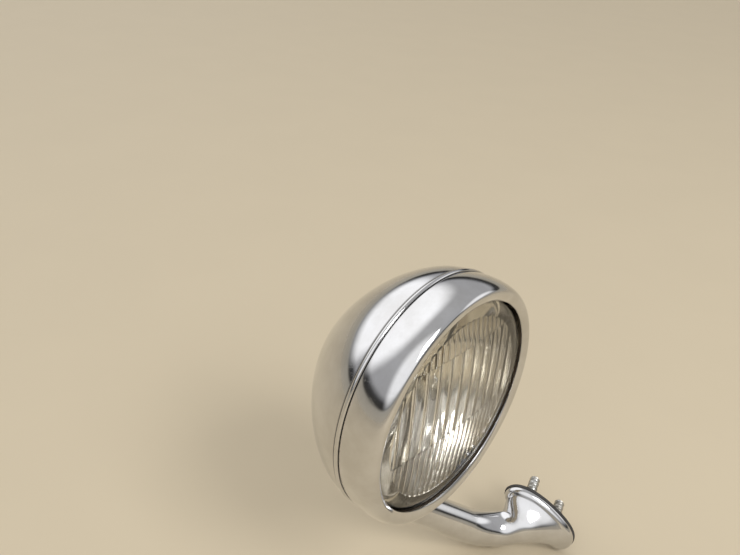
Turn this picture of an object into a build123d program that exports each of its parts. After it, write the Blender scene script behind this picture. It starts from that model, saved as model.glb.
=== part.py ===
from build123d import *
import math
import os

# Cowl lamp of a vintage car: a chromed lamp on a curved, tapering arm with a flared foot.
# The frame belongs to the car: the origin is on the body panel under the middle of the foot,
# +X points forward, +Y into the car and +Z up. Every length is in millimetres.

# Where the arm ends, under the lamp. The seam between shell and rim is the lamp's own zero.
arm_top = (-81.476, -62.275, 59.12)
aim_deg = 18.0              # the panel narrows forward, so a lamp that looks ahead turns outward

# Shell: a spun bowl with a rolled lip and a neck that carries the rim
seam_radius = 57.0
shell_depth = 52.2
shell_fullness = 0.405      # share of each half axis that the bowl's curve keeps straight
shell_sheet = 1.0
lip_width = 2.2
lip_height = 0.8
neck_length = 7.0
neck_root = 4.0

# Rim: a pressed ring that swells past the seam and rolls in to the glass
rim_sheet = 1.0
seam_gap = 0.4
neck_clearance = 0.3
rim_swell = (7.5, 2.1)      # forward of the seam, outward of the seam radius
rim_shoulder = (22.8, 1.0)
rim_mouth_x = 16.8
rim_mouth_inset = 6.7       # from the seam radius in to the mouth's radius
rim_inner_turn = (-1.35, -1.2)  # how the inner curve's shoulder steps in, in sheet thicknesses
rim_nose = 0.35             # how far the rolled edge bulges, in sheet thicknesses

# Lens: pressed glass, domed in front, with upright flutes in three bands behind
lens_lap = 2.7              # how far the glass passes the mouth's radius
lens_seat_drop = 2.0        # from the mouth back to the glass's seat
lens_seat_gap = 0.4
lens_edge = 3.4
lens_margin = 7.5           # plain glass between the fluted field and the mouth
lens_margin_bulge = 0.45
field_drop = 0.1
dome_radius = 400.0
lens_wall = 2.9
flute_root = 0.3            # how far the fluted layer reaches into the glass, and stands on it
field_edge = 0.2            # the flutes end this far inside the field
field_spare = 1.1           # the strip of flutes is cut from a larger one
fine_pitch = 3.75
fine_depth = 0.8
wide_pitch = 7.5
wide_depth = 1.2
wide_lift = 0.25            # the wide flutes stand this much proud of the fine ones
upper_band_share = 0.701    # of the field's radius, above its centre
lower_band_share = -0.245
gasket_thick = 0.8
gasket_width = 2.0

# Spring clips that press the glass to the rim
clip_count = 4
clip_width = 8.0
clip_sheet = 0.6
clip_seat = 0.3
clip_foot_gap = 0.8
clip_foot_length = 3.2
clip_reach = 2.2            # from the glass's edge in to the clip's tip
clip_bend = (1.6, 1.4)
clip_first_deg = 45.0

# Reflector: a paraboloid whose flange lies on the neck
reflector_sheet = 0.8
reflector_inset = 9.0       # from the seam radius in to the mouth's radius
reflector_room = 23.2       # from the vertex back to the shell's pole
reflector_flange_gap = 0.9
reflector_hole_gap = 0.3

# Bulb and its socket, on the lamp's axis
bulb_radius = 9.5
bulb_cap_radius = 7.5
bulb_cap_length = 15.0
bulb_neck_radius = 6.2
bulb_waist_share = 0.6      # of the bulb's radius, behind its middle
socket_wall = 1.0
socket_clearance = 0.15
socket_past_vertex = 3.5
socket_length = 18.0
socket_floor = 1.5
socket_collar_gap = 0.2
socket_join = 0.2
socket_collar_radius = 11.5
socket_collar_thick = 1.2
terminal_radius = 3.0
terminal_length = 2.5

# Swivel: an upright hollow stud behind the seam, clamped through the shell by a nut
stud_share = 0.479          # of the shell's depth, behind the seam
stud_radius = 5.0
stud_bore = 3.25
stud_socket_depth = 12.0
pivot_clearance = 0.1
turn_gap = 0.3
saddle_height = 7.5
saddle_top_radius = 11.0
saddle_seat = 0.1
inner_saddle_radius = 7.5
washer_room = 0.3           # between the washer's rear edge and the inside of the bowl
washer_thick = 1.2
washer_radius = 7.2
nut_flats = 14.0
nut_height = 5.0
stud_past_nut = 0.8

# Arm: leaves the foot almost level, rises on a slant, then bends upright under the lamp.
# It lies in one upright plane; reaches are measured in it from the panel.
arm_heel = (-2.9, -4.9)     # where the plane's level line meets the panel, across and up
arm_top_radius = 8.25
arm_root_radius = 10.0
arm_thinning = 0.75         # how early along its length the arm grows thin
arm_slope_deg = 32.5
arm_root_rise_deg = 10.81   # how steeply it leaves the foot
arm_root_straight = 0.47    # before the knee's bend starts
arm_knee_height = 0.4       # above the heel, where the two lines through the knee meet
arm_knee_radius = 56.0
arm_bend_radius = 38.0
arm_top_straight = 1.2      # after the upper bend, below the lamp
wire_way_radius = 3.5
wire_way_entry = 9.0
wire_way_entry_bend = 4.0
wire_way_knee_share = 0.3214  # radius of the way's bend at the knee, of the arm's own
wire_way_bend_share = 0.6316

# Foot: an oval flange that droops forward, on a rubber pad, and a flare up to the arm.
# Outlines are half lengths forward, back, up and down, then how blunt the two ends are.
pad_thick = 2.0
pad_margin = 0.5
flange_edge = 2.0
flange_outline = (22.8, 24.2, 12.6, 9.4)
flange_blunt = (0.78, 0.68)
flange_droop_deg = 33.0
flare_low_at = (-3.9, -8.0, 0.1)
flare_low_outline = (15.5, 18.5, 9.0, 4.6)
flare_low_turn_deg = 8.0
flare_high_at = (-10.1, -13.0, -2.3)
flare_high_outline = (9.5, 11.5, 9.2, 6.4)
flare_high_turn_deg = 30.0
flare_blunt = (0.58, 0.58)
foot_stud_spacing = 20.0
foot_stud_radius = 3.0
foot_stud_root_radius = 3.5
foot_stud_reach = 22.0
foot_stud_grip = 4.3
foot_stud_clearance = 0.1
grommet_bore = 3.0
grommet_wall = 1.5
grommet_length = 5.5
grommet_clearance = 0.1

# Sizes that follow from these
rim_mouth_radius = seam_radius - rim_mouth_inset
lens_radius = rim_mouth_radius + lens_lap
lens_seat_x = rim_mouth_x - lens_seat_drop
flute_field_radius = rim_mouth_radius - lens_margin
flute_field_x = rim_mouth_x - field_drop
upper_band_z = upper_band_share * flute_field_radius
lower_band_z = lower_band_share * flute_field_radius
reflector_mouth_radius = seam_radius - reflector_inset
reflector_vertex_x = reflector_room - shell_depth
socket_front_x = reflector_vertex_x + socket_past_vertex

parts = {}


def turned(*edges):
    """Turn a closed outline, drawn as (along the axis, radius), about the lamp's axis."""
    return revolve(make_face(Wire(edges)), Axis.X)


def outline(*points):
    """Edges of a closed polygon."""
    return Polyline(*points, close=True).edges()


def ring(x0, x1, inner, outer):
    """A plain ring about the lamp's axis."""
    if inner <= 0:
        return turned(*outline((x0, 0), (x1, 0), (x1, outer), (x0, outer)))
    return turned(*outline((x0, inner), (x1, inner), (x1, outer), (x0, outer)))


def bowl_points(depth, radius, front):
    """Control points of the bowl's quarter curve, from the pole to its front edge."""
    k = shell_fullness
    return (-depth, 0), (-depth, k * radius), (front - k * (depth + front), radius), (front, radius)


def bowl(depth, radius, front):
    """A filled bowl behind the seam."""
    pole, p1, p2, edge = bowl_points(depth, radius, front)
    return turned(Bezier(pole, p1, p2, edge), Line(edge, (front, 0)), Line((front, 0), pole))


def curve_radius(points, x):
    """Radius of a four-point curve at a place along the axis, by halving its parameter."""
    def at(axis, t):
        p = [point[axis] for point in points]
        u = 1 - t
        return u ** 3 * p[0] + 3 * u * u * t * p[1] + 3 * u * t * t * p[2] + t ** 3 * p[3]

    low, high = 0.0, 1.0
    for _ in range(40):
        middle = (low + high) / 2
        if at(0, middle) < x:
            low = middle
        else:
            high = middle
    return at(1, low)


def upright(x, radius, z0, z1):
    """An upright cylinder on the swivel's axis or beside it, in the lamp's frame."""
    return Location((x, 0, z0)) * Cylinder(radius, z1 - z0, align=(Align.CENTER, Align.CENTER, Align.MIN))


# The swivel's levels, in the lamp's frame, from the shell's outside on the stud's axis
stud_x = -stud_share * shell_depth
shell_under = -curve_radius(bowl_points(shell_depth, seam_radius, -lip_width), stud_x)
arm_top_z = shell_under - saddle_height
saddle_base_z = arm_top_z + turn_gap
bowl_inside = bowl_points(shell_depth - shell_sheet, seam_radius - shell_sheet, -lip_width)
washer_z = washer_room - curve_radius(bowl_inside, stud_x - washer_radius)
inner_saddle_z = washer_z - turn_gap
nut_z = washer_z + washer_thick
stud_top_z = nut_z + nut_height + stud_past_nut

# Shell
neck_radius = seam_radius - rim_sheet - neck_clearance
neck_inner = neck_radius - shell_sheet
reflector_flange_radius = neck_radius - reflector_flange_gap


def shell():
    """Bowl, rolled lip and neck in one spun sheet, with a hole for the swivel stud."""
    pole, p1, p2, edge = bowl_points(shell_depth, seam_radius, -lip_width)
    pole_in, q1, q2, edge_in = bowl_points(shell_depth - shell_sheet, seam_radius - shell_sheet, -lip_width)
    lip_top = (-lip_width / 2, seam_radius + lip_height)
    sheet = turned(
        Bezier(pole, p1, p2, edge),
        ThreePointArc(edge, lip_top, (0, seam_radius)),
        Line((0, seam_radius), (0, seam_radius - shell_sheet)),
        Line((0, seam_radius - shell_sheet), edge_in),
        Bezier(edge_in, q2, q1, pole_in),
        Line(pole_in, pole))
    joggle = seam_radius - shell_sheet / 2
    neck = turned(*outline(
        (-neck_root, neck_inner), (neck_length, neck_inner), (neck_length, neck_radius),
        (0, neck_radius), (0, joggle), (-neck_root, joggle)))
    hole = upright(stud_x, stud_radius + pivot_clearance, 1.5 * shell_under, 0)
    return sheet + neck - hole


def rim_points():
    """Control points of the rim's outer curve, from the seam to the mouth, and of its inner one."""
    outer = [
        (seam_gap, seam_radius), (rim_swell[0], seam_radius + rim_swell[1]),
        (rim_shoulder[0], seam_radius + rim_shoulder[1]), (rim_mouth_x, rim_mouth_radius)]
    end = math.atan2(outer[3][1] - outer[2][1], outer[3][0] - outer[2][0])
    steps = [(0, -1), (0, -1), rim_inner_turn, (math.sin(end), -math.cos(end))]
    inner = [(p[0] + rim_sheet * d[0], p[1] + rim_sheet * d[1]) for p, d in zip(outer, steps)]
    return outer, inner


def rim():
    """Pressed ring: two curves a sheet apart, closed by a small rolled edge at the mouth."""
    outer, inner = rim_points()
    mouth, mouth_in = outer[3], inner[3]
    nose = (
        (mouth[0] + mouth_in[0]) / 2 - rim_nose * (mouth_in[1] - mouth[1]),
        (mouth[1] + mouth_in[1]) / 2 + rim_nose * (mouth_in[0] - mouth[0]))
    return turned(
        Bezier(*outer), ThreePointArc(mouth, nose, mouth_in),
        Bezier(*reversed(inner)), Line(inner[0], outer[0]))


# Lens
dome_centre_x = flute_field_x - math.sqrt(dome_radius ** 2 - flute_field_radius ** 2)
lens_back_x = lens_seat_x - lens_edge


def dome_x(radius, back):
    """Place of the dome's front, or of a surface that lies a distance back from it."""
    return dome_centre_x + math.sqrt((dome_radius - back) ** 2 - radius ** 2)


def flutes(pitch, depth, lift, z_low, z_high):
    """A band of upright flutes on the back of the dome.

    One scalloped strip is turned about the level line through the dome's centre, so that
    every flute keeps its distance from the dome from top to bottom.
    """
    root = dome_radius - lens_wall + flute_root
    valley = dome_radius - lens_wall - flute_root - lift
    crest = valley - depth
    count = 2 * math.ceil(flute_field_radius / pitch - 0.5) + 1
    half_width = count * pitch / 2

    def on(radius, y):
        return (dome_centre_x + math.sqrt(radius ** 2 - y ** 2), y)

    edges = []
    for i in range(count):
        y0 = -half_width + i * pitch
        edges.append(ThreePointArc(on(valley, y0), on(crest, y0 + pitch / 2), on(valley, y0 + pitch)))
    edges.append(Line(on(valley, half_width), on(root, half_width)))
    edges.append(ThreePointArc(on(root, half_width), on(root, 0), on(root, -half_width)))
    edges.append(Line(on(root, -half_width), on(valley, -half_width)))
    turn_line = Axis((dome_centre_x, 0, 0), (0, 1, 0))
    sweep_deg = 2 * math.degrees(math.asin(field_spare * flute_field_radius / dome_radius))
    strip = revolve(make_face(Wire(edges)), turn_line, sweep_deg)
    strip = strip.rotate(turn_line, -sweep_deg / 2)
    deep = flute_field_radius / 2
    field = ring(lens_back_x - deep, flute_field_x + deep, 0, flute_field_radius - field_edge)
    band = Location((flute_field_x, 0, (z_low + z_high) / 2)) * Box(
        2 * deep, 6 * deep, z_high - z_low)
    return strip & field & band


def lens():
    """Domed glass with a plain sloping margin, a flat seat at its edge and three fluted bands."""
    front = (dome_x(0, 0), 0)
    brow = (dome_x(flute_field_radius / 2, 0), flute_field_radius / 2)
    field = (flute_field_x, flute_field_radius)
    margin = ((flute_field_x + lens_seat_x) / 2 + lens_margin_bulge, (flute_field_radius + rim_mouth_radius) / 2)
    seat = (lens_seat_x, rim_mouth_radius + lens_seat_gap)
    back_field = (dome_x(flute_field_radius, lens_wall), flute_field_radius)
    back_brow = (dome_x(flute_field_radius / 2, lens_wall), flute_field_radius / 2)
    back = (dome_x(0, lens_wall), 0)
    glass = turned(
        ThreePointArc(front, brow, field), ThreePointArc(field, margin, seat),
        Line(seat, (lens_seat_x, lens_radius)), Line((lens_seat_x, lens_radius), (lens_back_x, lens_radius)),
        Line((lens_back_x, lens_radius), (lens_back_x, rim_mouth_radius)),
        Line((lens_back_x, rim_mouth_radius), back_field),
        ThreePointArc(back_field, back_brow, back), Line(back, front))
    top = flute_field_radius
    for band in (
            (fine_pitch, fine_depth, 0, upper_band_z, top),
            (wide_pitch, wide_depth, wide_lift, lower_band_z, upper_band_z),
            (fine_pitch, fine_depth, 0, -top, lower_band_z)):
        glass = glass + flutes(*band)
    return glass


def lens_gasket():
    """Soft ring between the rim's rolled edge and the glass."""
    return ring(lens_seat_x, lens_seat_x + gasket_thick, lens_radius - gasket_width, lens_radius)


def lens_clip(angle):
    """Bent spring strip: its foot lies on the rim's wall and its tip presses the glass."""
    foot_x = neck_length + reflector_sheet + clip_foot_gap
    heel_x = foot_x + clip_foot_length
    chord = math.sqrt(curve_radius(rim_points()[1], heel_x) ** 2 - (clip_width / 2) ** 2)
    wall = chord - clip_seat - clip_sheet / 2
    heel = (heel_x, wall)
    toe = (lens_back_x - clip_seat - clip_sheet / 2, lens_radius - clip_reach)
    knee = (toe[0] - clip_bend[0], toe[1] + clip_bend[1])
    path = Polyline((foot_x, wall), heel, knee, toe)
    strip = offset(path, clip_sheet / 2)
    leaf = extrude(Plane.XY * make_face(strip.edges()), clip_width / 2, both=True)
    return leaf.rotate(Axis.X, angle)


# Reflector
reflector_focal = reflector_mouth_radius ** 2 / 4 / (neck_length - reflector_vertex_x)
bulb_x = reflector_vertex_x + reflector_focal
socket_radius = bulb_cap_radius + socket_clearance + socket_wall


def reflector():
    """Paraboloid of pressed sheet; a parabola is one curve of three control points."""
    t = reflector_sheet
    rim_in = (neck_length + t, reflector_mouth_radius)
    rim_out = (neck_length, reflector_mouth_radius + t / 2)
    vertex_in = (reflector_vertex_x, 0)
    vertex_out = (reflector_vertex_x - t, 0)
    dish = turned(
        Bezier(vertex_in, (reflector_vertex_x, rim_in[1] / 2), rim_in),
        Line(rim_in, (neck_length + t, reflector_flange_radius)),
        Line((neck_length + t, reflector_flange_radius), (neck_length, reflector_flange_radius)),
        Line((neck_length, reflector_flange_radius), rim_out),
        Bezier(rim_out, (reflector_vertex_x - t, rim_out[1] / 2 + t / 2), vertex_out),
        Line(vertex_out, vertex_in))
    return dish - ring(reflector_vertex_x - 2 * t, 0, 0, socket_radius + reflector_hole_gap)


def bulb_socket():
    """Sleeve through the reflector, closed behind, with a collar and a terminal."""
    back = socket_front_x - socket_length
    sleeve = ring(back, socket_front_x, 0, socket_radius)
    bore = ring(back + socket_floor, socket_front_x + socket_wall, 0, socket_radius - socket_wall)
    collar_x = reflector_vertex_x - reflector_sheet - socket_collar_gap
    collar = ring(
        collar_x - socket_collar_thick, collar_x, socket_radius - socket_join, socket_collar_radius)
    terminal = ring(back - terminal_length, back + socket_join, 0, terminal_radius)
    return sleeve + collar + terminal - bore


def bulb_cap():
    """Metal cap of the bulb, resting on the floor of its socket."""
    back = socket_front_x - socket_length + socket_floor
    return ring(back, back + bulb_cap_length, 0, bulb_cap_radius)


def bulb_glass():
    """Pear-shaped envelope from the cap's front to the tip."""
    base_x = socket_front_x - socket_length + socket_floor + bulb_cap_length
    tip = (bulb_x + bulb_radius, 0)
    waist_x = bulb_x - bulb_radius * bulb_waist_share
    waist = (waist_x, math.sqrt(bulb_radius ** 2 - (waist_x - bulb_x) ** 2))
    slope = Line(waist, (base_x, bulb_neck_radius))
    return turned(
        ThreePointArc(tip, (bulb_x, bulb_radius), waist), slope,
        Line((base_x, bulb_neck_radius), (base_x, 0)), Line((base_x, 0), tip))


# Swivel pieces, in the lamp's frame
def saddle():
    """Cone between the arm and the shell, hollowed to the bowl's curve."""
    tall = saddle_height + 1.2 * saddle_top_radius
    grow = (saddle_top_radius - arm_top_radius) / saddle_height
    body = Location((stud_x, 0, saddle_base_z)) * Cone(
        arm_top_radius, arm_top_radius + grow * tall, tall, align=(Align.CENTER, Align.CENTER, Align.MIN))
    fit = saddle_seat
    body = body - bowl(shell_depth + fit, seam_radius + fit, -lip_width + fit)
    body = body & upright(stud_x, saddle_top_radius, saddle_base_z, saddle_base_z + tall)
    body = body - upright(stud_x, stud_radius + pivot_clearance, saddle_base_z - 1, saddle_base_z + tall)
    return body.solids().sort_by(Axis.Z)[0]


def inner_saddle():
    """Packing ring inside the shell that gives the washer a level seat."""
    fit = saddle_seat + shell_sheet
    body = upright(stud_x, inner_saddle_radius, 1.4 * shell_under, inner_saddle_z)
    body = body & bowl(shell_depth - fit, seam_radius - fit, -lip_width - saddle_seat)
    return body - upright(stud_x, stud_radius + pivot_clearance, 1.5 * shell_under, 0)


def pivot_washer():
    """Flat washer under the nut."""
    return (upright(stud_x, washer_radius, washer_z, nut_z)
            - upright(stud_x, stud_radius + pivot_clearance, washer_z - 1, nut_z + 1))


def pivot_nut():
    """Hexagon nut that clamps the swivel."""
    hexagon = RegularPolygon(nut_flats / 2, 6, major_radius=False)
    nut = extrude(Location((stud_x, 0, nut_z)) * hexagon, nut_height)
    return nut - upright(stud_x, stud_radius + pivot_clearance, nut_z - 1, nut_z + nut_height + 1)


def pivot_stud():
    """Hollow stud from the arm's top into the shell; the wires pass through it."""
    low = arm_top_z - stud_socket_depth
    return (upright(stud_x, stud_radius, low, stud_top_z)
            - upright(stud_x, stud_bore, low - 1, stud_top_z + 1))


# The lamp's frame in the car's frame: +X of the lamp is its optical axis
aim = math.radians(aim_deg)
seam_from_foot = (
    arm_top[0] - stud_x * math.cos(aim), arm_top[1] + stud_x * math.sin(aim), arm_top[2] - arm_top_z)
lamp_place = Location(seam_from_foot, (0, 0, -aim_deg))

# Arm and foot, in the car's frame
arm_reach = math.hypot(arm_top[0] - arm_heel[0], arm_top[1])
towards = Vector((arm_top[0] - arm_heel[0]) / arm_reach, arm_top[1] / arm_reach, 0)

# Each bend takes its own length of the line on either side, so the corners are set from the radii
arm_slope = math.radians(arm_slope_deg)
arm_root_rise = math.radians(arm_root_rise_deg)
bend_length = arm_bend_radius * math.tan((math.pi / 2 - arm_slope) / 2)
elbow_height = arm_top[2] - arm_heel[1] - bend_length - arm_top_straight
knee_reach = arm_reach - (elbow_height - arm_knee_height) / math.tan(arm_slope)
knee_length = arm_knee_radius * math.tan((arm_slope - arm_root_rise) / 2) + arm_root_straight
root_reach = knee_reach - knee_length * math.cos(arm_root_rise)
root_height = arm_knee_height - knee_length * math.sin(arm_root_rise)
flange_face_y = -(pad_thick + flange_edge)


def arm_point(reach, height):
    """A point in the arm's upright plane."""
    return Vector(arm_heel[0] + towards.X * reach, towards.Y * reach, arm_heel[1] + height)


def oval(plane, outline, blunt):
    """Closed outline of four curves from its four half lengths and its ends' bluntness."""
    front, back, up, down = outline
    k = 0.5523
    return plane * make_face(Wire([
        Bezier((front, 0), (front, up * blunt[0]), (front * k, up), (0, up)),
        Bezier((0, up), (-back * k, up), (-back, up * blunt[1]), (-back, 0)),
        Bezier((-back, 0), (-back, -down * blunt[1]), (-back * k, -down), (0, -down)),
        Bezier((0, -down), (front * k, -down), (front, -down * blunt[0]), (front, 0))]))


def round_section(plane, radius):
    """A circle of four arcs, which a loft can join to the oval's four curves."""
    arcs = [CenterArc((0, 0), radius, 90 * i, 90) for i in range(4)]
    return plane * make_face(Wire(arcs))


def drooping_plane(origin, normal):
    """Plane across the foot or the flare, its first axis drooping forward."""
    droop = math.radians(flange_droop_deg)
    normal = normal.normalized()
    first = Vector(math.cos(droop), 0, -math.sin(droop))
    first = first - normal * first.dot(normal)
    return Plane(origin=origin, x_dir=first, z_dir=normal)


def foot_plane(y):
    """Plane parallel to the panel, its normal outward."""
    return drooping_plane(Vector(0, y, 0), Vector(0, -1, 0))


def turned_plane(at, turn_deg):
    """Plane across the flare, its normal turned from outward towards the arm."""
    turn = math.radians(turn_deg)
    return drooping_plane(Vector(*at), Vector(0, -1, 0) * math.cos(turn) + towards * math.sin(turn))


def across(x, z, radius, y_in, y_out):
    """A cylinder square to the panel, from one depth to another."""
    return Location((x, y_out, z), (-90, 0, 0)) * Cylinder(
        radius, y_in - y_out, align=(Align.CENTER, Align.CENTER, Align.MIN))


def foot_stud_places():
    """The studs' places, across and up, along the drooping foot."""
    droop = math.radians(flange_droop_deg)
    half = foot_stud_spacing / 2
    return [(side * half * math.cos(droop), -side * half * math.sin(droop)) for side in (-1, 1)]


def foot_holes(solid, y_in, y_out, wires_out):
    """Cut the studs' holes and the grommet's out of the casting or the pad."""
    solid = solid - across(0, 0, grommet_bore + grommet_wall + grommet_clearance, y_in, wires_out)
    for x, z in foot_stud_places():
        solid = solid - across(x, z, foot_stud_root_radius + foot_stud_clearance, y_in, y_out)
    return solid


def arm():
    """Flange, flare and tapering arm in one casting, with a way for the wires."""
    root = arm_point(root_reach, root_height)
    knee = arm_point(knee_reach, arm_knee_height)
    elbow = arm_point(arm_reach, elbow_height)
    top = Vector(*arm_top)
    path = FilletPolyline(root, knee, elbow, top, radius=(arm_knee_radius, arm_bend_radius))
    sections = []
    for share in (0, 0.13, 0.3, 0.55, 0.78, 1):
        radius = arm_root_radius - (arm_root_radius - arm_top_radius) * share ** arm_thinning
        sections.append(Plane(origin=path @ share, z_dir=path % share) * Circle(radius))
    tube = sweep(sections, path=path, multisection=True)

    flange = extrude(oval(foot_plane(-pad_thick), flange_outline, flange_blunt), flange_edge)
    flare = loft([
        oval(foot_plane(flange_face_y), flange_outline, flange_blunt),
        oval(turned_plane(flare_low_at, flare_low_turn_deg), flare_low_outline, flare_blunt),
        oval(turned_plane(flare_high_at, flare_high_turn_deg), flare_high_outline, flare_blunt),
        round_section(drooping_plane(root, path % 0), arm_root_radius)])

    socket_floor_at = top - Vector(0, 0, stud_socket_depth)
    socket = Location(socket_floor_at) * Cylinder(
        stud_radius + pivot_clearance, 2 * stud_socket_depth, align=(Align.CENTER, Align.CENTER, Align.MIN))
    way = FilletPolyline(
        Vector(0, 0, 0), Vector(0, -wire_way_entry, 0), knee, elbow,
        socket_floor_at + Vector(0, 0, stud_radius),
        radius=(wire_way_entry_bend, wire_way_knee_share * arm_knee_radius, wire_way_bend_share * arm_bend_radius))
    wires = sweep(Plane(origin=way @ 0, z_dir=way % 0) * Circle(wire_way_radius), path=way)
    casting = flange + flare + tube - socket - wires
    return foot_holes(casting, 0, -pad_thick - foot_stud_grip, -grommet_length)


def foot_pad():
    """Rubber pad of the flange's outline between the foot and the panel."""
    grown = [half + pad_margin for half in flange_outline]
    pad = extrude(oval(foot_plane(0), grown, flange_blunt), pad_thick)
    return foot_holes(pad, pad_thick, -2 * pad_thick, -2 * pad_thick)


def wire_grommet():
    """Rubber sleeve that lines the way out of the foot."""
    return (across(0, 0, grommet_bore + grommet_wall, 0, -grommet_length)
            - across(0, 0, grommet_bore, grommet_wall, -grommet_length - grommet_wall))


def foot_stud(x, z):
    """Shouldered stud screwed into the foot; its thinner end goes through the panel."""
    return (across(x, z, foot_stud_root_radius, 0, -pad_thick - foot_stud_grip)
            + across(x, z, foot_stud_radius, foot_stud_reach, 0))


parts["arm"] = arm()
parts["foot_pad"] = foot_pad()
parts["wire_grommet"] = wire_grommet()
for i, place in enumerate(foot_stud_places()):
    parts["foot_stud_%d" % (i + 1)] = foot_stud(*place)

lamp_nodes = {
    "shell": shell(), "rim": rim(), "lens": lens(), "lens_gasket": lens_gasket(),
    "reflector": reflector(), "bulb_socket": bulb_socket(), "bulb_cap": bulb_cap(),
    "bulb_glass": bulb_glass(), "saddle": saddle(), "inner_saddle": inner_saddle(),
    "pivot_washer": pivot_washer(), "pivot_nut": pivot_nut(), "pivot_stud": pivot_stud(),
}
for i in range(clip_count):
    lamp_nodes["lens_clip_%d" % (i + 1)] = lens_clip(clip_first_deg + i * 360 / clip_count)
for name, solid in lamp_nodes.items():
    parts[name] = lamp_place * solid

os.makedirs("parts", exist_ok=True)
for name, solid in parts.items():
    export_step(solid, "parts/" + name + ".step")
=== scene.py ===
from math import atan2, cos, hypot, pi, radians, sin, sqrt, tan

import bmesh
import bpy
import numpy as np
from mathutils import Matrix


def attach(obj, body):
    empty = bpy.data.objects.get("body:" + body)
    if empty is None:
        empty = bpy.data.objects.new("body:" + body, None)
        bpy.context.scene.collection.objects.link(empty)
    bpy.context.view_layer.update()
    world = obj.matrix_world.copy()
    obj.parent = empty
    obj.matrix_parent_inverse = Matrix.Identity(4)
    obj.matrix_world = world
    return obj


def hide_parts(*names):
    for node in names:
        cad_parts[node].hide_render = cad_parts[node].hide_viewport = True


bl_info = {
    "name": "Cowl Lamp",
    "version": (1, 0, 0),
    "blender": (4, 5, 0),
    "location": "3D View > Sidebar > Cowl Lamp",
    "description": "Surfaces, finishes and studio for a chromed cowl lamp on a curved arm",
    "category": "Object",
}

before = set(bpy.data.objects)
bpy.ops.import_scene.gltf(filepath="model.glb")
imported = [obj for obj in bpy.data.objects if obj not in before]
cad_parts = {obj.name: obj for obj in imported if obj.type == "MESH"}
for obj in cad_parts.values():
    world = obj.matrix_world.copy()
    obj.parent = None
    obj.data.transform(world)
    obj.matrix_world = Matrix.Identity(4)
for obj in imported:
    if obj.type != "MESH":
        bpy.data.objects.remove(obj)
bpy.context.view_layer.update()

MM = 0.001
TURNS = 256  # steps round the optical axis
RING = 144  # steps round the arm, the foot and the saddle
SMALL_RING = 96  # steps round the bulb's pieces and the floor
POLE = 0.02  # radius at which a turned skin is closed by a pole
WELD = 2e-6  # metres under which points are welded
OUTWARD = np.array((0, -1.0, 0))
UPRIGHT = np.array((0, 0, 1.0))

# The lamp's own frame: its zero is the seam's middle, its first axis the optical axis
AIM = radians(18)
SEAM = np.array((-57.69597, -70.0016, 113.29439))

# Shell and rim, as (along the optical axis, radius)
SEAM_RADIUS = 57.0
SHELL_DEPTH = 52.2
SHELL_FULLNESS = 0.405
SHEET = 1.0
LIP_BACK = -2.2
LIP_BULGE = 0.8
NECK_RADIUS = 55.7
NECK_END = 7.0
NECK_ROOT = -4.0
NECK_SOFT = 0.4  # how far the neck's end is cut back
RIM_OUTER = ((0.4, 57.0), (7.5, 59.1), (22.8, 58.0), (16.8, 50.3))
RIM_INNER = ((0.4, 56.0), (7.5, 58.1), (21.45, 56.8), (16.014, 50.914))

# Glass and gasket
FIELD_RADIUS = 42.8
FIELD_EDGE = 42.6
FIELD_X = 16.7
FIELD_STEP = 0.3  # how far the flutes stand behind the plain glass
WIDE_STEP = 0.25  # and how much further the wide ones do
DOME_RADIUS = 400.0
DOME_CENTRE = FIELD_X - sqrt(DOME_RADIUS ** 2 - FIELD_RADIUS ** 2)
GLASS_WALL = 2.9
GLASS_SEAT = 14.8
GLASS_BACK = 11.4
GLASS_RADIUS = 53.0
MARGIN_MIDDLE = (16.2, 46.55)
MOUTH_RADIUS = 50.3
BANDS = (-10.486, 30.003)  # heights at which the flutes change
BAND_GAP = 0.12  # half the height of the step between two bands
BAND_ROWS = (18, 22, 12)  # rows of points in each band
FLUTE_STEPS = 8  # columns to one narrow flute
GASKET = ((14.8, 51.0), (15.6, 51.0), (15.6, 53.0), (14.8, 53.0))

# Reflector, bulb and socket; outlines are (along the optical axis, radius)
VERTEX = -29.0
REFLECTOR_SHEET = 0.8
REFLECTOR_MOUTH = 48.0
REFLECTOR_FLANGE = 54.8
REFLECTOR_HOLE = 8.95
BULB_X = -13.43
BULB_RADIUS = 9.5
BULB_WALL = 0.5
BULB_WAIST = pi - 0.9273
BULB_BASE = -27.0
BULB_NECK = 6.2
COIL_TURNS = 9
COIL_RADIUS = 0.7
COIL_END = 3.2
COIL_WIRE = 0.13
LEG_WIRE = 0.28
CAP_BACK = -42.0
CAP_RADIUS = 7.5
CAP = ((CAP_BACK, 6.6), (CAP_BACK, 7.2), (-40.6, CAP_RADIUS), (-30.2, CAP_RADIUS), (-29.2, 6.9),
       (-28.3, CAP_RADIUS), (BULB_BASE, CAP_RADIUS), (BULB_BASE, 5.5), (-28.0, 5.2), (-41, 5.2))
SOCKET_RADIUS = 8.65
SOCKET_BORE = 7.65
SOCKET = ((-46.0, POLE), (-46.0, 2.4), (-45.7, 2.9), (-45.2, 3.0), (-43.5, 3.0), (-43.5, 8.3),
          (-43.2, SOCKET_RADIUS), (-31.2, SOCKET_RADIUS), (-31.2, 11.3), (-31.0, 11.5), (-30.2, 11.5),
          (-30.0, 11.3), (-30.0, SOCKET_RADIUS), (-25.7, SOCKET_RADIUS), (-25.5, 8.5), (-25.5, 7.8),
          (-25.7, SOCKET_BORE), (CAP_BACK, SOCKET_BORE), (CAP_BACK, POLE))

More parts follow.
